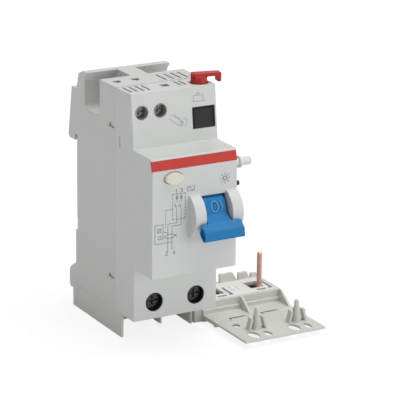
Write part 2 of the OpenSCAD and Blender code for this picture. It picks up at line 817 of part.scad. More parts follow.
// Trip lever outside the right plate, and the pin that reaches into the breaker
module trip_lever() {
    color(steel) difference() {
        union() {
            rod_x(pivot_y, pivot_z, 2.6, lever_plate_l, lever_plate_r);
            rod_x(-link_depth, link_z, 2.1, lever_plate_l, lever_plate_r);
            along_x(lever_plate_l, lever_plate_r) {
                polygon([
                    [pivot_y - 1.7, pivot_z - 1.8], [-link_depth - 1.4, link_z - 1.5],
                    [-link_depth + 1.2, link_z + 1.6], [pivot_y + 1.7, pivot_z + 1.8]
                ]);
                polygon([
                    [pivot_y - 2.4, pivot_z], [pivot_y + 2, pivot_z], [pivot_y - 1, pivot_z - 6],
                    [pivot_y - 2.6, pivot_z - 6]
                ]);
            }
        }
        rod_x(pivot_y, pivot_z, pivot_r + fit_gap, lever_plate_l - cut, lever_plate_r + cut);
        rod_x(-link_depth, link_z, 1, lever_plate_l - cut, lever_plate_r + cut);
    }
}
module trip_pivot() {
    color(steel) rod_x(pivot_y, pivot_z, pivot_r, plate_r, lever_plate_r);
}
module link_pin() {
    tip = 0.5;
    color(pale_grey) {
        rod_x(-link_depth, link_z, 1, lever_plate_l, lever_plate_r);
        rod_x(-link_depth, link_z, link_r, lever_plate_r, side_x + link_reach - tip);
        rod_x(-link_depth, link_z, 2.25, side_x + link_reach * 0.32, side_x + link_reach * 0.32 + 1);
        translate([side_x + link_reach - tip, -link_depth, link_z]) rotate([0, 90, 0])
            cylinder(r1 = link_r, r2 = link_r - tip, h = tip);
    }
}

// Latch lever left of the left plate, over the relay's plunger
module latch_lever() {
    color(steel) difference() {
        union() {
            rod_x(latch_y, latch_z, 2.4, latch_x, latch_x + 1.2);
            along_x(latch_x, latch_x + 1.2) polygon([
                [latch_y - 2, latch_z - 1.2], [latch_y + 8.4, latch_z - 1.6],
                [latch_y + 8.4, latch_z + 0.6], [latch_y, latch_z + 2.4]
            ]);
            span(relay_x - 1.6, latch_x + 1.2, relay_y - 1.6, relay_y + 1.6, latch_z - latch_plate,
                latch_z - 0.2);
        }
        rod_x(latch_y, latch_z, pivot_r + fit_gap, latch_x - cut, latch_x + 1.2 + cut);
    }
}
module latch_pivot() {
    color(steel) rod_x(latch_y, latch_z, pivot_r, latch_x, plate_rr);
}
module latch_spring() {
    color(steel) translate([relay_x, relay_y, latch_z - 0.2])
        coil_spring(1.6, 0.4, 4, shelf_z - latch_z + 0.2);
}

// Test button with its stem and its retaining flange
module test_button() {
    color(cream) {
        along_y(nose_y - button_proud, flange_y)
            translate([button_x, button_at]) oval(button_w, button_h);
        along_y(flange_y, flange_y + flange_t)
            translate([button_x, button_at]) oval(button_w + 1.6, flange_h);
        rod_y(button_x, button_at, stem_r, flange_y + flange_t, switch_y + 0.5);
    }
}
module test_button_spring() {
    len = switch_y - flange_y - flange_t;
    color(steel) translate([button_x, switch_y, button_at]) rotate([90, 0, 0]) coil_spring(2, 0.4, 4, len);
}
module test_switch_base() {
    color(black) difference() {
        span(button_x - 3.6, button_x + 3.6, switch_y, board_y, button_at - 3, button_at + 3);
        rod_y(button_x, button_at, stem_r + 0.4, switch_y - cut, board_y + cut);
    }
}
module test_contact() {
    color(brass) rod_y(button_x, button_at, stem_r + 0.3, switch_y + 0.6 + button_travel, board_y);
}
module test_resistor() {
    color(tan_plastic) {
        translate([0, board_y - 1.9, 6.4]) {
            rod_x(0, 0, 1.5, board_l + 2.6, board_l + 8.2);
            rod_x(0, 0, 0.35, board_l + 1, board_l + 9.8);
        }
        for (x = [board_l + 1, board_l + 9.8]) rod_y(x, 6.4, 0.35, board_y - 1.9, board_y);
    }
}

// Red locking lever, its boss in the cover's pocket and its hook over the breaker
module locking_lever() {
    low = body_rise + 2.4;
    color(red) translate([lever_x, -lever_depth, 0]) rotate([0, 0, -lever_ahead]) difference() {
        union() {
            translate([0, 0, body_rise - 1.3]) cylinder(r = lever_boss_r, h = 3.8, $fn = 8);
            span(0.6 - lever_boss_r, lever_len, -lever_w / 2, lever_w / 2, low, low + lever_t);
            span(lever_len - 1.5, lever_len, -lever_w / 2, lever_w / 2, body_rise + 0.3, low + lever_t);
        }
        rod_z(0, 0, 1.2 + fit_gap, body_rise - 2, body_rise + 2);
    }
}
module locking_lever_pin() {
    color(steel) rod_z(lever_x, -lever_depth, 1.2, body_rise - 6.6, body_rise + 1.8);
}

// Moulded carrier behind the mechanism, with the board's posts
module inner_carrier() {
    color(black) difference() {
        union() {
            span(-inner_x, inner_x, carrier_y, seam_y, carrier_low, carrier_high);
            for (spot = [[board_l + 1.8, board_low + 1.8], [board_r - 1.8, board_high - 1.8]])
                rod_y(spot[0], spot[1], post_r, board_y + board_t, seam_y);
            span(relay_x - 2.6, relay_x + 2.6, relay_y - 2.4, carrier_y, shelf_z, shelf_z + 1.2);
        }
        span(-lead_x - lead_d, 1.2 + lead_d - lead_x, carrier_y - cut, seam_y + cut, -lead_d, lead_d);
    }
}
module control_board() {
    color(board_green) span(board_l, board_r, board_y, board_y + board_t, board_low, board_high);
}
module board_capacitors() {
    color(black) for (spot = [[board_l + 3.2, 2.4], [board_l + 8.4, 2]])
        rod_y(spot[0], board_high - 4.6, spot[1], board_y + board_t, board_y + board_t + 6.5);
}

// Trip relay: yoke, coil on its bobbin, sprung plunger
module relay_yoke() {
    half = relay_w / 2;
    color(steel) difference() {
        union() {
            span(relay_x - half, relay_x + half, relay_y - half, carrier_y, relay_low, relay_low + 1.4);
            span(relay_x - half, relay_x + half, relay_y - half, carrier_y, relay_high - 1.4, relay_high);
            span(relay_x - half, relay_x + half, carrier_y - 1.2, carrier_y, relay_low, relay_high);
        }
        rod_z(relay_x, relay_y, plunger_r + fit_gap, relay_low - cut, relay_high + cut);
    }
}
module relay_coil() {
    color(copper) difference() {
        union() {
            rod_z(relay_x, relay_y, coil_r, relay_low + 2.4, relay_high - 2.4);
            rod_z(relay_x, relay_y, coil_r + 0.5, relay_low + 1.4, relay_low + 2.4);
            rod_z(relay_x, relay_y, coil_r + 0.5, relay_high - 2.4, relay_high - 1.4);
        }
        rod_z(relay_x, relay_y, plunger_r + fit_gap, relay_low, relay_high);
    }
}
plunger_tip = latch_z - latch_plate - slide_gap;
plunger_head = plunger_tip - 0.9;
module relay_plunger() {
    color(steel) {
        rod_z(relay_x, relay_y, plunger_r, relay_low + 1, plunger_head);
        rod_z(relay_x, relay_y, plunger_r + 0.9, plunger_head - 0.8, plunger_head);
        rod_z(relay_x, relay_y, 0.5, plunger_head - 0.1, plunger_tip);
    }
}
module relay_spring() {
    len = plunger_head - 0.8 - relay_high;
    color(steel) translate([relay_x, relay_y, relay_high]) coil_spring(1.5, 0.3, 3, len);
}

// Current transformer: cup, ring core, and the winding round the core
module transformer_case() {
    color(black) translate([0, ring_y, ring_low]) difference() {
        cylinder(r = case_r, h = ring_h);
        translate([0, 0, 1.4]) difference() {
            cylinder(r = case_r - 1, h = ring_h);
            cylinder(r = sleeve_in + 1, h = ring_h);
        }
        translate([0, 0, -cut]) cylinder(r = sleeve_in, h = ring_h + 2 * cut);
    }
}
module transformer_core() {
    color(steel) translate([0, ring_y, core_low]) difference() {
        cylinder(r = core_out, h = core_h);
        translate([0, 0, -cut]) cylinder(r = core_in, h = core_h + 2 * cut);
    }
}
module transformer_winding() {
    wire = 0.7;
    mid = (core_in + core_out) / 2;
    half = (core_out - core_in) / 2 + 0.05;
    color(copper) translate([0, ring_y, core_low + core_h / 2]) for (k = [0:23]) rotate([0, 0, k * 15])
        translate([mid, 0, 0]) difference() {
            cube([2 * half + 2 * wire, wire, core_h + 0.1 + 2 * wire], center = true);
            cube([2 * half, wire + cut, core_h + 0.1], center = true);
        }
}

// Two leads from the winding to the relay's coil
module sense_leads() {
    top = core_low + core_h + 0.8;
    color(black) for (i = [0, 1]) {
        x = 1.2 * i - lead_x;
        y = relay_y + 1.2 * i;
        z = relay_low + 8 - 2 * i;
        bar_run([
            [x, ring_y - 10.2, top + lead_d / 2], [x, ring_y - 10.2, 0], [x, y, 0], [x, y, z],
            [relay_x + coil_r + 0.5, y, z]
        ], lead_d);
    }
}

// Conductors: from a terminal, through the transformer, down into the tray
left_drop = [inner_x - 0.3 - bar_t / 2, seam_y + 5.1 + bar_t / 2];
right_drop = [inner_x - 0.3 - bar_t / 2, -wall - 0.8 - bar_t / 2];
riser_x = 2.4;
module terminal_tab(x) {
    span(x - 3, x + 3, tab_y, tab_y + tab_t, cage_low + 0.6, bus_z + bar_t / 2);
}
module left_conductor() {
    top = ring_low + ring_h + 3.6;
    color(copper) {
        terminal_tab(-pole_x);
        bar_run([
            [-pole_x, tab_y + bar_t / 2, bus_z], [-pole_x, ring_y, bus_z], [-riser_x, ring_y, bus_z],
            [-riser_x, ring_y, top], [-riser_x, left_drop[1], top], [left_drop[0], left_drop[1], top],
            [left_drop[0], left_drop[1], run_z], [left_prong_x, left_drop[1], run_z],
            [left_prong_x, prong_y, run_z]
        ], bar_t);
    }
}
module right_conductor() {
    top = ring_low + ring_h + 8.4;
    turn_y = -22.4;
    color(copper) {
        terminal_tab(pole_x);
        bar_run([
            [pole_x, tab_y + bar_t / 2, bus_z], [pole_x, ring_y, bus_z], [riser_x, ring_y, bus_z],
            [riser_x, ring_y, top], [riser_x, right_drop[1], top], [right_drop[0], right_drop[1], top],
            [right_drop[0], right_drop[1], run_z], [right_drop[0], turn_y, run_z],
            [right_prong_x, turn_y, run_z], [right_prong_x, prong_y, run_z]
        ], bar_t);
    }
}
module prong(x) {
    tip = 0.5;
    color(copper) {
        rod_z(x, prong_y, prong_base, run_z + bar_t / 2, tray_top + 0.3);
        rod_z(x, prong_y, prong_r, tray_top, tray_top + prong_h - tip);
        translate([x, prong_y, tray_top + prong_h - tip]) cylinder(r1 = prong_r, r2 = prong_r - tip, h = tip);
    }
}
module left_prong() {
    prong(left_prong_x);
}
module right_prong() {
    prong(right_prong_x);
}

// Clamp cages round the conductor tabs, with the screws that draw them up
module clamp_cage(x) {
    color(steel) difference() {
        span(x - cage_half, x + cage_half, cage_front, cage_rear + cage_t, cage_low, cage_high);
        span(x - cage_half + cage_t, x + cage_half - cage_t, cage_front + cage_t, cage_rear,
            cage_low - cut, cage_high + cut);
        rod_y(x, well_z, screw_r + fit_gap, cage_front - cut, cage_front + cage_t + cut);
    }
}
module left_clamp_cage() {
    clamp_cage(-pole_x);
}
module right_clamp_cage() {
    clamp_cage(pole_x);
}
// A slotted, cross-recessed screw along Y
module driven_screw(x, z, head_at, head_h, r_head, r_shank, tip_at) {
    color(steel) difference() {
        union() {
            rod_y(x, z, r_head, head_at, head_at + head_h);
            rod_y(x, z, r_shank, head_at + head_h, tip_at);
        }
        for (turn = [0, 90]) translate([x, head_at, z]) rotate([0, turn, 0])
            cube([r_head * (turn == 0 ? 1.7 : 1.1), head_h, 0.7], center = true);
    }
}
module left_terminal_screw() {
    driven_screw(-pole_x, well_z, head_y, head_t, head_r, screw_r, tab_y - 0.1);
}
module right_terminal_screw() {
    driven_screw(pole_x, well_z, head_y, head_t, head_r, screw_r, tab_y - 0.1);
}

// Small terminals for a remote trip contact
module aux_terminal_blocks() {
    half = aux_block_w / 2;
    color(brass) for (i = [0, 1]) {
        x = aux_x + i * aux_pitch;
        difference() {
            span(max(x - half, -inner_x), x + half, aux_block_y, aux_block_end, aux_z - half, aux_z + half);
            rod_y(x, aux_z, 1.3 + fit_gap, aux_block_y - cut, aux_wire_y);
            rod_z(x, aux_wire_y, 1.5, aux_z - 1.6, aux_z + half + cut);
        }
    }
}
module left_aux_screw() {
    driven_screw(aux_x, aux_z, aux_head_y, 1.6, 2.2, 1.3, aux_wire_y - 2);
}
module right_aux_screw() {
    driven_screw(aux_x + aux_pitch, aux_z, aux_head_y, 1.6, 2.2, 1.3, aux_wire_y - 2);
}

// Sprung rail clip that slides down to let the rail go
module rail_clip() {
    lip_low = rail_low;
    color(warm_grey) difference() {
        union() {
            span(-clip_w / 2, clip_w / 2, clip_y, clip_y + clip_t, clip_low, lip_low + clip_lip);
            along_x(-clip_w / 2, clip_w / 2) polygon([
                [clip_y + 1, lip_low + clip_lip], [clip_y + clip_t - 1, lip_low + clip_lip],
                [clip_y + clip_t + 2.2, lip_low - 1], [clip_y + clip_t + 2.2, lip_low - 3],
                [clip_y + clip_t, lip_low - 3]
            ]);
            span(-clip_w / 2, clip_w / 2, clip_y + clip_t, clip_y + clip_t + 1.6, clip_low, clip_low + 3);
        }
        // Window for the spring, and the slot for a screwdriver
        span(-2.2, 2.2, clip_y - cut, clip_y + clip_t + cut, clip_lug_z - 1.8, clip_spring_top);
        span(-3, 3, clip_y - cut, clip_y + clip_t + 2, clip_low + 1.2, clip_low + 2.4);
    }
}
module rail_clip_spring() {
    len = clip_spring_top - clip_lug_z;
    color(steel) translate([0, clip_y + clip_t / 2, clip_lug_z]) coil_spring(0.85, 0.35, 8, len);
}

// Connection tray: under the housing and out to the right, below the breaker
module connection_tray() {
    color(warm_grey) difference() {
        union() {
            // Behind the wire bays and under the bridge
            span(-side_x, side_x, bay_end, 0, tray_low, -body_drop);
            span(-side_x, side_x, -cut, tray_rear, tray_low, bridge_low);
            // Left skirt, the wall between the bays, and the right-hand box
            span(-side_x, -side_x + skirt_t, tray_y - 0.6, bay_end + cut, tray_low, -body_drop);
            span(-0.3, 0.6, tray_y + 0.8, bay_end + cut, tray_low + 2, -body_drop);
            span(bay_right, side_x, tray_y, bay_end + cut, tray_low, -body_drop);
            // Lower extension and the walls round its cover
            span(side_x - cut, tray_right, tray_y, -tray_back, tray_low, tray_top);
            guide_teeth();
            tray_foot();
            gussets();
            hinge_knuckles();
        }
        // Inside the rear part, the right-hand box and the extension
        span(-inner_x, inner_x, bay_end + wall, -wall - 0.2, tray_low + floor_t, -body_drop + cut);
        span(conductor_bay, inner_x, tray_y + tray_wall + 0.8, -wall - 0.2, tray_low + floor_t,
            -body_drop + cut);
        span(conductor_bay, tray_right - tray_wall - 0.8, tray_y + tray_wall + 0.8,
            -tray_back - tray_wall - 0.8, tray_low + floor_t, tray_top - cover_t);
        // Seat of the cover
        span(side_x, tray_right - tray_wall, tray_y + tray_wall, -tray_back - tray_wall, tray_top - cover_t,
            tray_top + cut);
        // Slit beside the right-hand bay
        span(bay_right + 0.8, bay_right + 1.8, tray_y - cut, tray_y + 1.2, tray_low - cut, -body_drop + cut);
        // Room for the rail clip
        span(-clip_w / 2 - slide_gap, clip_w / 2 + slide_gap, back_step, tray_rear + cut, tray_low - cut,
            -body_drop + cut);
        for (spot = screw_spots) {
            rod_z(spot[0], spot[1], tray_screw_r, tray_low - cut, -body_drop + cut);
            rod_z(spot[0], spot[1], 2.3, tray_low - cut, tray_low + 1.2);
        }
        // Bore of the flap's hinge pin
        rod_x(hinge_y, hinge_z, pin_r, side_x - cut, tray_right + cut);
    }
    color(warm_grey) for (spot = screw_spots) difference() {
        rod_z(spot[0], spot[1], 2.6, tray_low + 1.2, -body_drop);
        rod_z(spot[0], spot[1], tray_screw_r, tray_low, -body_drop + cut);
    }
}
conductor_bay = left_drop[0] - bar_t / 2 - 0.3;

// Trapezoid teeth along the back of the tray, which guide the breaker
// From and to, as shares of the tray's reach, and height as a share of the tallest
teeth = [[0.06, 0.23, 1], [0.26, 0.46, 1], [0.49, 0.71, 1], [0.73, 0.875, 0.8], [0.89, 0.985, 0.5]];
module guide_teeth() {
    for (tooth = teeth) {
        x0 = side_x + tooth[0] * tray_reach;
        x1 = side_x + tooth[1] * tray_reach;
        slope = 0.25 * (x1 - x0);
        top = tray_top + tooth_h * tooth[2];
        along_y(-tray_back - tray_wall, -tray_back) polygon([
            [x0, tray_top - cut], [x1, tray_top - cut], [x1, tray_top], [x1 - slope, top], [x0, top]
        ]);
    }
}
// The ledge in front of the tray's wall
module tray_foot() {
    span(side_x, tray_right, tray_y - 0.9, tray_y + cut, tray_low, tray_top - 2.9);
    span(side_x, tray_right, hinge_y + knuckle_r + slide_gap, tray_y, flap_z - 1.6, flap_z);
}
module gussets() {
    for (x = [side_x + tray_reach / 2, tray_right])
        along_x(x - gusset_t, x) polygon([
            [tray_y + cut, tray_top], [tray_y - 1, tray_top], [hinge_y + knuckle_r + slide_gap, flap_z],
            [hinge_y + knuckle_r + slide_gap, flap_z - cut], [tray_y + cut, flap_z - cut]
        ]);
}
// Knuckles at the front of the ledge: the tray's stay, the flap's turn between them
knuckle_pitch = tray_reach / 5;
module knuckles(first) {
    for (k = [first:2:4]) {
        x0 = side_x + k * knuckle_pitch + slide_gap / 2;
        rod_x(hinge_y, hinge_z, knuckle_r, x0, x0 + knuckle_pitch - slide_gap);
    }
}
module hinge_knuckles() {
    knuckles(0);
    for (k = [0:2:4]) {
        x0 = side_x + k * knuckle_pitch + slide_gap / 2;
        span(x0, x0 + knuckle_pitch - slide_gap, hinge_y, hinge_y + knuckle_r + slide_gap + cut,
            flap_z - flap_t, flap_z);
    }
}

// The cover over the tray's conductors, with its openings
module tray_cover() {
    x0 = side_x;
    x1 = tray_right - tray_wall;
    color(pale_grey) difference() {
        span(x0, x1, tray_y + tray_wall, -tray_back - tray_wall, tray_top - cover_t, tray_top);
        for (x = cover_wells) {
            // Well beside the prong, slot at the front, angled well at the outer side
            cover_slot(x - 4.2, x + 1.3, prong_y - 1.3, prong_y + 5.4);
            cover_slot(x - 3, x + 0.9, prong_y - 4.3, prong_y - 2.8);
            cover_slot(x + 2.9, x + 4, prong_y - 3.9, prong_y + 4.6);
            cover_slot(x + 2, x + 4, prong_y - 3.9, prong_y - 2.6);
        }
    }
}
module cover_slot(x0, x1, y0, y1) {
    span(x0, x1, y0, y1, tray_top - cover_t - cut, tray_top + cut);
}
module tray_screws() {
    color(steel) for (spot = screw_spots) difference() {
        union() {
            rod_z(spot[0], spot[1], tray_screw_r, tray_low + 1.2, -body_drop + 5);
            rod_z(spot[0], spot[1], 2.2, tray_low + 0.1, tray_low + 1.2);
        }
        translate([spot[0], spot[1], tray_low]) cube([3, 0.6, 1], center = true);
    }
}

// Flap that folds up over the breaker's screws, with its sealing pegs and their snap legs
module screw_flap() {
    free_y = hinge_y - flap_len;
    rim_y = hinge_y - knuckle_r - slide_gap;
    color(warm_grey) difference() {
        union() {
            span(flap_l, flap_r, free_y, rim_y, flap_z - flap_t, flap_z);
            knuckles(1);
            for (k = [1:2:3]) {
                x0 = side_x + k * knuckle_pitch + slide_gap / 2;
                span(x0, x0 + knuckle_pitch - slide_gap, rim_y - cut, hinge_y, flap_z - flap_t, flap_z);
            }
            for (x = peg_spots) translate([x, peg_y, flap_z]) sealing_peg();
        }
        rod_x(hinge_y, hinge_z, pin_r + fit_gap, side_x - cut, tray_right + cut);
        translate([side_x + 5.4, hinge_y - 7.2, flap_z]) cylinder(d = 3, h = 4 * flap_t, center = true);
        for (x = peg_spots) translate([x, peg_y, flap_z]) {
            translate([-4.2, -5.3, 0]) lens_slot(7.8, 4);
            translate([1.2, -6.2, 0]) lens_slot(5.8, 2.8);
        }
    }
}
module sealing_peg() {
    base = -flap_t / 2;
    translate([0, 0, base]) cylinder(r1 = peg_r + 0.8, r2 = peg_r + 0.4, h = cone_h - base);
    translate([0, 0, base]) cylinder(r = peg_r, h = peg_h - peg_r - base);
    translate([0, 0, peg_h - peg_r]) sphere(r = peg_r);
    for (side = [-1, 1]) scale([side, 1, 1]) translate([0, 1.2, 0]) rotate([90, 0, 0]) linear_extrude(2.4)
        polygon([
            [3.3, base], [4.2, base], [3.1, leg_h - 1], [3.1, leg_h], [2.1, leg_h], [2.1, leg_h - 1]
        ]);
}
// A through slot shaped like a lens: two arcs meeting
module lens_slot(len, w) {
    r = (len * len / 4 + w * w / 4) / w;
    linear_extrude(4 * flap_t, center = true) intersection() {
        translate([r - w / 2, 0]) circle(r = r);
        translate([w / 2 - r, 0]) circle(r = r);
    }
}
module flap_hinge_pin() {
    color(steel) rod_x(hinge_y, hinge_z, pin_r, side_x + 0.3, tray_right - gusset_t);
}

rear_housing();
front_cover();
colour_band();
window_plug();
coding_peg();
toggle();
toggle_shaft();
toggle_cam();
toggle_spring();
mechanism_frame();
trip_lever();
trip_pivot();
link_pin();
latch_lever();
latch_pivot();
latch_spring();
test_button();
test_button_spring();
test_switch_base();
test_contact();
test_resistor();
locking_lever();
locking_lever_pin();
inner_carrier();
control_board();
board_capacitors();
relay_yoke();
relay_coil();
relay_plunger();
relay_spring();
transformer_case();
transformer_core();
transformer_winding();
sense_leads();
left_conductor();
right_conductor();
left_prong();
right_prong();
left_clamp_cage();
right_clamp_cage();
left_terminal_screw();
right_terminal_screw();
aux_terminal_blocks();
left_aux_screw();
right_aux_screw();
rail_clip();
rail_clip_spring();
connection_tray();
tray_cover();
tray_screws();
screw_flap();
flap_hinge_pin();
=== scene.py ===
import json
import math

import bmesh
import bpy
from mathutils import Matrix, Vector
from mathutils.bvhtree import BVHTree

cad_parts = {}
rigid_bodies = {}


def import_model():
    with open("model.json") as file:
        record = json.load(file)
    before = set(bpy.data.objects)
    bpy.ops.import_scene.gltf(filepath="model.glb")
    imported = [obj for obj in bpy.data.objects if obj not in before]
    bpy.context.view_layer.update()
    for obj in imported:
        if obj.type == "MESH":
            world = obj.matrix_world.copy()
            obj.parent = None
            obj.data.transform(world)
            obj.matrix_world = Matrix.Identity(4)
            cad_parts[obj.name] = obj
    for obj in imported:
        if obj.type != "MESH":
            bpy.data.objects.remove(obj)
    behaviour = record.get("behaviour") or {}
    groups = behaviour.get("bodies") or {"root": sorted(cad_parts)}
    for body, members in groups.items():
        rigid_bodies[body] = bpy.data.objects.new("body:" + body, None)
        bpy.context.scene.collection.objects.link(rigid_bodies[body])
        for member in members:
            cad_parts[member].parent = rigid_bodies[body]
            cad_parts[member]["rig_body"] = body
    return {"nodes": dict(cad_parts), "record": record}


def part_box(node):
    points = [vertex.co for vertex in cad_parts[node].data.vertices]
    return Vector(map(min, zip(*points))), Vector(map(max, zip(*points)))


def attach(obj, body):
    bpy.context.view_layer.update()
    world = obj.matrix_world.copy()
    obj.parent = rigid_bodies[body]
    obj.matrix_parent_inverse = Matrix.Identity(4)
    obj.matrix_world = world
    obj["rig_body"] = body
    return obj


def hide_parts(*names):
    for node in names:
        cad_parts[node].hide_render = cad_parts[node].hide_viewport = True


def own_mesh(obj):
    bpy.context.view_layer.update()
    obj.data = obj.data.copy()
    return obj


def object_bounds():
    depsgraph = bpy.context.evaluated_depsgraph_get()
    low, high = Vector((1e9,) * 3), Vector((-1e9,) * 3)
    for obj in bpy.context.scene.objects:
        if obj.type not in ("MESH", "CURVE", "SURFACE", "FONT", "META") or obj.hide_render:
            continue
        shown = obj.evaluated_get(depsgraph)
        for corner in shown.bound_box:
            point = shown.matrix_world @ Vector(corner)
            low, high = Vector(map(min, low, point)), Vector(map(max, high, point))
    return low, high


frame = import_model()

# ---------------------------------------------------------------- setup
for spare in [o for o in bpy.data.objects if "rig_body" not in o and o.type in {"MESH", "LIGHT", "CAMERA"}]:
    bpy.data.objects.remove(spare)
CAD_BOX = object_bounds()
NODES = frame["nodes"]
SCENE = bpy.context.scene
MM = 0.001
FAR = 200  # mm, well outside the object


def mm(*xyz):
    return Vector(xyz) * MM


# ------------------------------------------------------------- materials
def linear(r, g, b):
    """A colour given as it looks on screen, 0 to 255, as linear light."""
    out = []
    for c in (r, g, b):
        c /= 255
        out.append(c / 12.92 if c <= 0.04045 else ((c + 0.055) / 1.055) ** 2.4)
    return (*out, 1.0)


def tint(colour, k):
    return (*[min(1.0, max(0.0, c * k)) for c in colour[:3]], 1.0)


def surface(name, colour, rough, metal=0.0, spread=0.03, grain=5200.0, bump=0.10, depth=0.00003,
            wear=0.12, blotch=90.0, stretch=(1, 1, 1), coat=0.0, spec=0.5, soft=0.25):
    """A procedural finish: two sizes of colour variation, uneven roughness, moulded or machined grain, lightly
    rubbed edges, and edges softened by about soft mm."""
    m = bpy.data.materials.new(name)
    m.use_nodes = True
    t = m.node_tree
    t.nodes.clear()
    link = t.links.new
    out = t.nodes.new("ShaderNodeOutputMaterial")
    bsdf = t.nodes.new("ShaderNodeBsdfPrincipled")
    link(bsdf.outputs["BSDF"], out.inputs["Surface"])
    bsdf.inputs["Metallic"].default_value = metal
    bsdf.inputs["Specular IOR Level"].default_value = spec
    bsdf.inputs["Coat Weight"].default_value = coat
    bsdf.inputs["Coat Roughness"].default_value = 0.2
    place = t.nodes.new("ShaderNodeTexCoord")
    scale = t.nodes.new("ShaderNodeMapping")
    scale.inputs["Scale"].default_value = stretch
    link(place.outputs["Object"], scale.inputs["Vector"])

    def noise(size, detail, roughness=0.55):
        n = t.nodes.new("ShaderNodeTexNoise")
        n.inputs["Scale"].default_value = size
        n.inputs["Detail"].default_value = detail
        n.inputs["Roughness"].default_value = roughness
        link(scale.outputs["Vector"], n.inputs["Vector"])
        return n

    broad = noise(blotch, 3.0)
    ramp = t.nodes.new("ShaderNodeValToRGB")
    ramp.color_ramp.elements[0].position = 0.3
    ramp.color_ramp.elements[0].color = tint(colour, 1 - spread)
    ramp.color_ramp.elements[1].position = 0.7
    ramp.color_ramp.elements[1].color = tint(colour, 1 + spread)
    link(broad.outputs["Fac"], ramp.inputs["Fac"])
    fine = noise(grain * 0.35, 2.0)
    speck = t.nodes.new("ShaderNodeValToRGB")
    speck.color_ramp.elements[0].position = 0.35
    speck.color_ramp.elements[0].color = (1 - spread, 1 - spread, 1 - spread, 1)
    speck.color_ramp.elements[1].position = 0.6
    speck.color_ramp.elements[1].color = (1, 1, 1, 1)
    link(fine.outputs["Fac"], speck.inputs["Fac"])
    mix = t.nodes.new("ShaderNodeMix")
    mix.data_type = "RGBA"
    mix.blend_type = "MULTIPLY"
    mix.inputs[0].default_value = 0.6
    link(ramp.outputs["Color"], mix.inputs[6])
    link(speck.outputs["Color"], mix.inputs[7])
    last = mix.outputs[2]
    if wear > 0:
        geo = t.nodes.new("ShaderNodeNewGeometry")
        edge = t.nodes.new("ShaderNodeValToRGB")
        edge.color_ramp.elements[0].position = 0.52
        edge.color_ramp.elements[0].color = (0, 0, 0, 1)
        edge.color_ramp.elements[1].position = 0.62
        edge.color_ramp.elements[1].color = (wear, wear, wear, 1)
        link(geo.outputs["Pointiness"], edge.inputs["Fac"])
        rub = t.nodes.new("ShaderNodeMix")
        rub.data_type = "RGBA"
        rub.inputs[7].default_value = tint(colour, 1.12)
        link(edge.outputs["Color"], rub.inputs[0])
        link(last, rub.inputs[6])
        last = rub.outputs[2]
    link(last, bsdf.inputs["Base Color"])
    uneven = t.nodes.new("ShaderNodeMapRange")
    uneven.inputs["To Min"].default_value = max(0.02, rough - 0.06)
    uneven.inputs["To Max"].default_value = min(1.0, rough + 0.08)
    link(noise(blotch * 4, 4.0).outputs["Fac"], uneven.inputs["Value"])
    link(uneven.outputs["Result"], bsdf.inputs["Roughness"])
    bumps = t.nodes.new("ShaderNodeBump")
    bumps.inputs["Strength"].default_value = bump
    bumps.inputs["Distance"].default_value = depth
    link(noise(grain, 3.0).outputs["Fac"], bumps.inputs["Height"])
    if soft > 0:
        worn = t.nodes.new("ShaderNodeBevel")
        worn.samples = 6
        worn.inputs["Radius"].default_value = soft * MM
        link(worn.outputs["Normal"], bumps.inputs["Normal"])
    link(bumps.outputs["Normal"], bsdf.inputs["Normal"])
    return m


FINISH = {
    "shell_grey": surface("shell_grey", linear(203, 204, 202), 0.50, spread=0.012),
    "cover_grey": surface("cover_grey", linear(206, 208, 206), 0.46, spread=0.010),
    "tray_grey": surface("tray_grey", linear(203, 203, 197), 0.50, spread=0.014),
    "lid_white": surface("lid_white", linear(224, 224, 221), 0.48, spread=0.012),
    "band_red": surface("band_red", linear(190, 48, 40), 0.46, spread=0.03, spec=0.3),
    "lever_red": surface("lever_red", linear(178, 42, 38), 0.46, spread=0.04, spec=0.3),
    "toggle_blue": surface("toggle_blue", linear(20, 116, 175), 0.42, spread=0.03, spec=0.22),
    "button_cream": surface("button_cream", linear(220, 217, 203), 0.40, spread=0.02),
    "plug_black": surface("plug_black", linear(24, 24, 25), 0.34, spread=0.08, spec=0.25),
    # Painted shade: the terminal screws' dark steel is darkened further to stand in for the shade deep in their
    # wells
    "screw_painted_shade": surface("screw_painted_shade", linear(66, 66, 68), 0.30, metal=1.0, spread=0.12, grain=2600,
                          bump=0.3),
    "screw_grey": surface("screw_grey", linear(150, 150, 150), 0.50, metal=1.0, spread=0.10, grain=2600,
                          bump=0.3),
    "inner_black": surface("inner_black", linear(40, 40, 42), 0.50, spread=0.08, spec=0.3),
    # Painted shade: colour of the sleeves that darken the deep terminal wells
    "well_painted_shade_black": surface("well_painted_shade_black", linear(24, 24, 25), 0.50, spread=0.08, spec=0.25, soft=0),
    # Painted shade: colour of the sleeves that darken the small wells
    "well_painted_shade_grey": surface("well_painted_shade_grey", linear(150, 150, 148), 0.55, spread=0.06, spec=0.25, soft=0),
    "link_white": surface("link_white", linear(214, 214, 211), 0.40, spread=0.015),
    "zinc": surface("zinc", linear(176, 177, 178), 0.34, metal=1.0, spread=0.05, grain=2600, bump=0.25,
                    stretch=(1, 1, 6)),
    "copper": surface("copper", linear(196, 156, 145), 0.30, metal=1.0, spread=0.06, grain=2600, bump=0.2,
                      stretch=(1, 1, 5)),
    "brass": surface("brass", linear(205, 176, 110), 0.30, metal=1.0, spread=0.05, grain=2600, bump=0.2),
    "board": surface("board", linear(30, 96, 60), 0.40, spread=0.06),
    "tan": surface("tan", linear(196, 170, 124), 0.60, spread=0.05),
    "ink_dark": surface("ink_dark", linear(98, 101, 106), 0.60, spread=0.05, wear=0, soft=0),
    "ink_pale": surface("ink_pale", linear(150, 152, 154), 0.60, spread=0.05, wear=0, soft=0),
    # Painted highlight: the lit lip of the pressed-in off sign
    "painted_highlight_sky": surface("painted_highlight_sky", linear(88, 164, 212), 0.50, spread=0.03, wear=0, soft=0),
    # Painted shade: the groove of the pressed-in off sign
    "painted_shade_navy": surface("painted_shade_navy", linear(0, 72, 122), 0.60, spread=0.04, wear=0, soft=0),
}

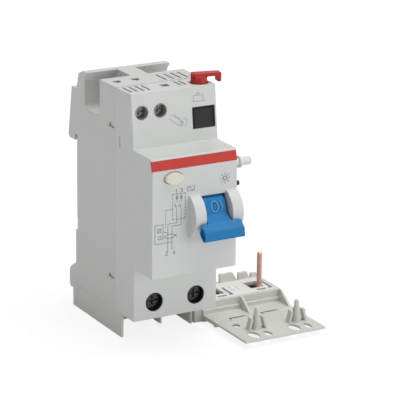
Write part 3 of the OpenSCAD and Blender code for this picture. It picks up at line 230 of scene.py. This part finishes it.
FINISH_OF = {
    "side_plastic": "shell_grey", "front_plastic": "cover_grey", "tray_plastic": "tray_grey",
    "white_plastic": "link_white", "red_plastic": "band_red", "blue_plastic": "toggle_blue",
    "cream_plastic": "button_cream", "black_plastic": "inner_black", "steel": "zinc", "copper": "copper",
    "brass": "brass", "board": "board", "tan": "tan",
}
# Finishes of single nodes, where the part's own material slot isn't enough
SPECIAL = {"window_plug": "plug_black", "locking_lever": "lever_red", "tray_cover": "lid_white",
           "left_terminal_screw": "screw_painted_shade", "right_terminal_screw": "screw_painted_shade",
           "left_aux_screw": "screw_grey", "right_aux_screw": "screw_grey"}
SLOT_OF = {s["node"]: s["material_slot"] for s in frame["record"]["subparts"]}

# ------------------------------------------------------- CAD nodes dressed
# Width of the rounded edges, in mm, of the moulded pieces that are seen
BEVEL = {"front_cover": 0.2, "colour_band": 0.15, "toggle": 0.35, "test_button": 0.25, "locking_lever": 0.3,
         "connection_tray": 0.2, "window_plug": 0.3, "rail_clip": 0.2, "link_pin": 0.2}
BEVEL_FROM = math.radians(38)
for name, node in NODES.items():
    kind = SPECIAL.get(name) or FINISH_OF[SLOT_OF[name]]
    node.data.materials.clear()
    node.data.materials.append(FINISH[kind])
    weld = node.modifiers.new("weld", "WELD")
    weld.merge_threshold = 0.000002
    if name in BEVEL:
        flat = node.modifiers.new("flat", "DECIMATE")
        flat.decimate_type = "DISSOLVE"
        flat.angle_limit = math.radians(0.3)
        bevel = node.modifiers.new("edges", "BEVEL")
        bevel.width = BEVEL[name] * MM
        bevel.segments = 2
        bevel.limit_method = "ANGLE"
        bevel.angle_limit = BEVEL_FROM
        bevel.use_clamp_overlap = False
        bevel.harden_normals = True
        bevel.miter_outer = "MITER_ARC"
    even = node.modifiers.new("normals", "WEIGHTED_NORMAL")
    even.keep_sharp = True
    even.weight = 60

# ----------------------------------------------------- marks and small parts
# Ways to look at the object: across, up and out of the surface
FRONT = (Vector((1, 0, 0)), Vector((0, 0, 1)), Vector((0, -1, 0)))
ABOVE = (Vector((1, 0, 0)), Vector((0, 1, 0)), Vector((0, 0, 1)))
# How far a printed line, or a line of painted highlight and shade, stands above the skin and reaches into it, in mm
LIFT, SINK = 0.015, 0.03
BODY_OF = {n: body for body, nodes in frame["record"]["behaviour"]["bodies"].items() for n in nodes}


def centre(name):
    low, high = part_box(name)
    return (Vector(low) + Vector(high)) / 2 / MM


def skin(name):
    """The surface of a CAD node, in mm, for marks to lie on."""
    mesh = NODES[name].data
    place = NODES[name].matrix_world
    points = [place @ v.co / MM for v in mesh.vertices]
    return BVHTree.FromPolygons(points, [tuple(p.vertices) for p in mesh.polygons])


def new_piece(name, bm, finish, body):
    bmesh.ops.recalc_face_normals(bm, faces=bm.faces)
    for v in bm.verts:
        v.co *= MM
    mesh = bpy.data.meshes.new(name)
    bm.to_mesh(mesh)
    bm.free()
    mesh.materials.append(FINISH[finish])
    piece = bpy.data.objects.new(name, mesh)
    SCENE.collection.objects.link(piece)
    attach(piece, body)


def lay_line(bm, under, view, start, end, width, step, lift):
    """A thin straight line from start to end, (across, up) in mm, laid on the surface under it."""
    across, up, out = view
    a, b = Vector(start), Vector(end)
    along = (b - a).normalized()
    side = Vector((-along.y, along.x)) * width / 2
    a, b = a - along * width / 2, b + along * width / 2
    count = max(1, math.ceil((b - a).length / step))
    rows = []
    for i in range(count + 1):
        p = a.lerp(b, i / count)
        row = []
        for q in (p + side, p - side):
            flat = across * q.x + up * q.y
            hit = under.ray_cast(flat + out * FAR, -out)[0]
            if hit is None:
                return
            row += [bm.verts.new(hit + out * lift), bm.verts.new(hit - out * SINK)]
        rows.append(row)
    for p, q in zip(rows, rows[1:]):
        for i, j in ((0, 2), (2, 3), (3, 1), (1, 0)):
            bm.faces.new((p[i], p[j], q[j], q[i]))
    for row in (rows[0], rows[-1]):
        bm.faces.new((row[0], row[1], row[3], row[2]))


def marks(name, node, view, origin, paths, width, finish, step=60.0, lift=LIFT):
    """Printed lines, and lines of painted highlight and shade, on a node: each path is a list of (across, up) points
    in mm from origin.
    """
    under = skin(node)
    bm = bmesh.new()
    for path in paths:
        for a, b in zip(path, path[1:]):
            lay_line(bm, under, view, Vector(origin) + Vector(a), Vector(origin) + Vector(b), width, step, lift)
    new_piece(name, bm, finish, BODY_OF[node])


def dashes(a, b, on, off):
    """A straight line from a to b as separate dashes."""
    a, b = Vector(a), Vector(b)
    count = max(1, round(((b - a).length + off) / (on + off)))
    pitch = (b - a) / (count - off / (on + off))
    return [[a + pitch * i, a + pitch * (i + on / (on + off))] for i in range(count)]


def arc(x, y, rx, ry, start, end, count):
    turns = [math.radians(start + (end - start) * i / count) for i in range(count + 1)]
    return [(x + rx * math.cos(t), y + ry * math.sin(t)) for t in turns]


def box_path(x0, y0, x1, y1):
    return [(x0, y0), (x1, y0), (x1, y1), (x0, y1), (x0, y0)]


def dashed_path(points, on, off):
    return [d for a, b in zip(points, points[1:]) for d in dashes(a, b, on, off)]


# Plain digits, each in a box one wide and 1.6 high
DIGITS = {
    "1": [[(0.2, 1.2), (0.6, 1.6), (0.6, 0)]],
    "2": [[(0, 1.3), (0.3, 1.6), (0.8, 1.6), (1, 1.3), (1, 1), (0, 0), (1, 0)]],
    "3": [[(0, 1.6), (1, 1.6), (0.4, 0.95), (1, 0.6), (0.8, 0.1), (0.3, 0), (0, 0.2)]],
    "4": [[(0.7, 0), (0.7, 1.6), (0, 0.5), (1, 0.5)]],
}


def digit(kind, x, y, size):
    return [[(x + px * size, y + py * size) for px, py in path] for path in DIGITS[kind]]


# Circuit diagram on the nose, measured from the lower left corner of its dashed box
button = centre("test_button")
diagram = (button.x - 0.3, button.z - 15.7)
box_w, box_h = 5.1, 9.6
poles = (1.7, 3.5)
runs = ((-1.9, -1.3), (-0.2, -2.3))
circuit = []
for x, (left, low) in zip(poles, runs):
    circuit += [[(x, box_h), (x, 6.6)], [(x - 0.8, 6.2), (x, 3.4), (x, low), (left, low), (left, -11.2)],
                box_path(x - 0.35, 7.7, x + 0.35, 8.6)]
circuit += [[(-3.9, -1.2), (-7.2, -1.2), (-7.2, -8.3), (-0.2, -8.3)], arc(-1.05, -6, 2.1, 0.75, 0, 360, 20),
            [(-3.9, -6), (-3.15, -6)], [(-3.9, -1.2), (-3.9, -7.2)], box_path(-6.1, -4.1, -4.7, -2.7),
            [(-6.1, -4.1), (-4.7, -2.7)], box_path(-5.9, -6.7, -4.6, -5.6), [(-3.7, -4), (-2, -4.7)],
            [(1.05, -6), (1.7, -5.5)], [(1.05, -6), (1.7, -6.5)]]
circuit += digit("2", -2.8, -13.1, 0.9) + digit("4", 0.2, -13.1, 0.9)
circuit += digit("1", poles[0] - 0.6, box_h + 0.6, 0.7) + digit("3", poles[1] - 0.2, box_h + 0.6, 0.7)
marks("circuit_lines", "front_cover", FRONT, diagram, circuit, 0.2, "ink_dark")
marks("circuit_dashes", "front_cover", FRONT, diagram,
      dashed_path(box_path(0, 0, box_w, box_h), 0.8, 0.5) + dashed_path([(0, 4), (-2.8, 4), (-2.8, -2.6)], 0.7, 0.4)
      + dashed_path([(0.9, 5), (poles[1], 5)], 0.6, 0.4),
      0.2, "ink_dark")

# A wave in a box, and a ring of short ticks
wave = [(0.3 + 2.3 * i / 16, 0.85 + 0.45 * math.sin(2 * math.pi * i / 16)) for i in range(17)]
marks("wave_sign", "front_cover", FRONT, (button.x + 5.7, button.z - 5.7), [box_path(0, 0, 2.9, 1.7), wave], 0.18,
      "ink_dark")
ticks = [[(r * math.cos(math.radians(a)), r * math.sin(math.radians(a))) for r in (1.35, 2.05)]
         for a in range(0, 360, 45)]
marks("ring_sign", "front_cover", FRONT, (button.x + 21.3, button.z - 2.9),
      ticks + [arc(0, 0, 0.75, 0.75, 0, 360, 12)], 0.34, "ink_pale")

# Line drawings on the upper face: a tool at an angle, and an outline above the window
plug = centre("window_plug")
tool = [[(-2.3, 1.2), (1.7, -1.9), (2.9, -2), (3.5, -0.7), (2.2, 0.3), (-1.4, 2.4)],
        [(-0.3, 2.9), (0.9, 1.4), (2.2, 0.3)],
        arc(3.1, -0.9, 1.9, 1.9, 70, -50, 8), arc(2.6, -0.9, 0.5, 0.5, 0, 360, 8)]
marks("tool_drawing", "front_cover", FRONT, (plug.x - 12.1, plug.z), tool, 0.2, "ink_pale")
outline = [[(-2.8, 0.2), (-2.8, 1.9), (1.2, 1.9), (1.2, -0.2)], [(-1.6, 1.9), (-1.6, 2.6), (-0.2, 2.6), (-0.2, 1.9)],
           [(-3.6, -0.2), (2.2, -0.2)], [(-0.9, 2.6), (-0.9, 3.5)]]
marks("window_drawing", "front_cover", FRONT, (plug.x - 1.2, plug.z + 6.4), outline, 0.2, "ink_pale")

# The off sign on the toggle's drum, pressed in: a dark line of painted shade in its groove, with a pale rim of
# painted highlight on its lip
drum_mark = (centre("toggle").x - 0.1, 3.0)
marks("off_lip", "toggle", FRONT, drum_mark,
      [arc(0, 0, 1.3, 1.8, 0, 360, 18), arc(0, 0, 2.85, 2.7, -38, 38, 8)], 0.3, "painted_highlight_sky", 0.5)
marks("off_sign", "toggle", FRONT, drum_mark,
      [arc(0, 0, 0.8, 1.3, 0, 360, 18), arc(0, 0, 2.4, 2.3, -38, 38, 8)], 0.55, "painted_shade_navy", 0.5, 2 * LIFT)

# Dark sleeves in the screws' wells: painted shade, darkening the wells where shade falls
cover = skin("front_cover")
SLEEVE_SIDES = 48


def well_shade_sleeve(name, screw, wall, overlap, finish):
    """A thin tube lining the well in front of a screw's head, coloured as painted shade of the well."""
    head = centre(screw)
    front_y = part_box(screw)[0][1] / MM
    well_r = cover.ray_cast(Vector((head.x, front_y - 0.3, head.z)), Vector((-1, 0, 0)))[3]
    face_y = cover.ray_cast(Vector((head.x, -FAR, head.z - well_r - 0.6)), Vector((0, 1, 0)))[0].y
    outer, inner = well_r - 0.02, well_r - wall
    near, far = face_y + 0.3, front_y + overlap
    turns = [2 * math.pi * i / SLEEVE_SIDES for i in range(SLEEVE_SIDES)]
    bm = bmesh.new()
    loops = [[bm.verts.new((head.x + r * math.cos(t), y, head.z + r * math.sin(t))) for t in turns]
             for r, y in ((outer, near), (outer, far), (inner, far), (inner, near))]
    for a, b in zip(loops, loops[1:] + loops[:1]):
        for i in range(SLEEVE_SIDES):
            j = (i + 1) % SLEEVE_SIDES
            bm.faces.new((a[i], a[j], b[j], b[i]))
    new_piece(name, bm, finish, BODY_OF["front_cover"])


for side in ("left", "right"):
    well_shade_sleeve(side + "_well_sleeve", side + "_terminal_screw", 0.3, 0.6, "well_painted_shade_black")
    well_shade_sleeve(side + "_small_sleeve", side + "_aux_screw", 0.2, 0.4, "well_painted_shade_grey")

# Generic lines on the tray's cover: an outline between its openings and two bowed lines
lid = centre("tray_cover")
lid_lines = [box_path(-1.6, -2.6, 3.6, 2.4), arc(-9.6, -9, 9, 9, 38, 68, 8), arc(-9.6, -9, 10, 10, 38, 68, 8),
             [(-1.6, 0), (3.6, 0)], [(1, -2.6), (1, 2.4)]]
marks("lid_lines", "tray_cover", ABOVE, (lid.x, lid.y), lid_lines, 0.2, "ink_pale")

# ----------------------------------------------------------------- camera
# The photograph's view: where it was taken from, and the turn, dip and tilt in degrees
CAMERA_AT = mm(-386.86, -747.58, 256.23)
YAW, PITCH, ROLL = (math.radians(a) for a in (29.51, 17.60, -0.708))
ahead = Vector((math.sin(YAW) * math.cos(PITCH), math.cos(YAW) * math.cos(PITCH), -math.sin(PITCH)))
level = Vector((math.cos(YAW), -math.sin(YAW), 0))
below = ahead.cross(level)
right = math.cos(ROLL) * level + math.sin(ROLL) * below
down = -math.sin(ROLL) * level + math.cos(ROLL) * below
lens = bpy.data.cameras.new("photo_camera")
lens.lens = 206.2
lens.sensor_width = 36.0
lens.clip_start = 0.05
lens.clip_end = 50
camera = bpy.data.objects.new("photo_camera", lens)
SCENE.collection.objects.link(camera)
camera.matrix_world = Matrix((
    (right.x, -down.x, -ahead.x, CAMERA_AT.x),
    (right.y, -down.y, -ahead.y, CAMERA_AT.y),
    (right.z, -down.z, -ahead.z, CAMERA_AT.z),
    (0, 0, 0, 1)))
SCENE.camera = camera

# ------------------------------------------------------------------ springs
def shorten(part):
    """A copy of a spring that the record lists as deforming, put in place of its node on the same body."""
    name = part["node"]
    coils = bpy.data.objects.new(name + "_coils", NODES[name].data.copy())
    coils.matrix_world = NODES[name].matrix_world
    SCENE.collection.objects.link(coils)
    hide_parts(name)
    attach(coils, BODY_OF[name])
    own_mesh(coils)


for joint in frame["record"]["behaviour"]["joints"]:
    for part in joint.get("deforming_nodes", []):
        shorten(part)

# ------------------------------------------------------- floor and lights
FLOOR_Z = CAD_BOX[0][2] - 0.0001
# How much of the floor's colour, seen directly, is plain white
FLOOR_SHARE = 0.78
floor_mesh = bpy.data.meshes.new("studio_floor")
grid = bmesh.new()
bmesh.ops.create_grid(grid, x_segments=8, y_segments=8, size=12.0)
grid.to_mesh(floor_mesh)
grid.free()
floor = bpy.data.objects.new("studio_floor", floor_mesh)
floor.location = (0, 0, FLOOR_Z)
SCENE.collection.objects.link(floor)
floor_white = surface("floor_white", (0.92, 0.92, 0.92, 1), 0.9, spread=0.004, wear=0, spec=0.1, soft=0,
                      blotch=3.0, grain=300, bump=0.02)
floor_mesh.materials.append(floor_white)


def seen_directly(tree):
    """1 for rays from the camera, a mirror-like surface or a clear one, and 0 for the rest."""
    rays = tree.nodes.new("ShaderNodeLightPath")
    last = rays.outputs["Is Camera Ray"]
    for kind in ("Is Glossy Ray", "Is Transmission Ray"):
        more = tree.nodes.new("ShaderNodeMath")
        more.operation = "MAXIMUM"
        tree.links.new(last, more.inputs[0])
        tree.links.new(rays.outputs[kind], more.inputs[1])
        last = more.outputs[0]
    return last


# The floor looks near white and keeps a faint shadow
tree = floor_white.node_tree
lit = next(n for n in tree.nodes if n.type == "BSDF_PRINCIPLED")
floor_out = next(n for n in tree.nodes if n.type == "OUTPUT_MATERIAL")
shine = tree.nodes.new("ShaderNodeEmission")
shine.inputs["Color"].default_value = (1, 1, 1, 1)
shine.inputs["Strength"].default_value = 1.08
share = tree.nodes.new("ShaderNodeMath")
share.operation = "MULTIPLY"
share.inputs[1].default_value = FLOOR_SHARE
tree.links.new(seen_directly(tree), share.inputs[0])
blend = tree.nodes.new("ShaderNodeMixShader")
tree.links.new(share.outputs[0], blend.inputs[0])
tree.links.new(lit.outputs["BSDF"], blend.inputs[1])
tree.links.new(shine.outputs["Emission"], blend.inputs[2])
tree.links.new(blend.outputs["Shader"], floor_out.inputs["Surface"])

world = bpy.data.worlds.new("studio_world")
SCENE.world = world
world.use_nodes = True
w = world.node_tree
w.nodes.clear()
sky_out = w.nodes.new("ShaderNodeOutputWorld")
room = w.nodes.new("ShaderNodeBackground")
room.inputs["Color"].default_value = (1.0, 1.0, 1.0, 1)
room.inputs["Strength"].default_value = 0.36
shown = w.nodes.new("ShaderNodeBackground")
shown.inputs["Color"].default_value = (1, 1, 1, 1)
shown.inputs["Strength"].default_value = 1.0
both = w.nodes.new("ShaderNodeMixShader")
w.links.new(seen_directly(w), both.inputs[0])
w.links.new(room.outputs[0], both.inputs[1])
w.links.new(shown.outputs[0], both.inputs[2])
w.links.new(both.outputs[0], sky_out.inputs["Surface"])


def sun(name, toward, strength, spread):
    """A soft lamp with its light coming from the side that toward points to."""
    data = bpy.data.lights.new(name, "SUN")
    data.energy = strength
    data.angle = math.radians(spread)
    lamp = bpy.data.objects.new(name, data)
    lamp.rotation_euler = Vector(toward).to_track_quat("Z", "Y").to_euler()
    SCENE.collection.objects.link(lamp)


sun("key_light", (0.22, -0.12, 0.97), 1.72, 40)
sun("front_light", (0.42, -0.90, -0.02), 1.5, 50)

SCENE.view_settings.view_transform = "Standard"
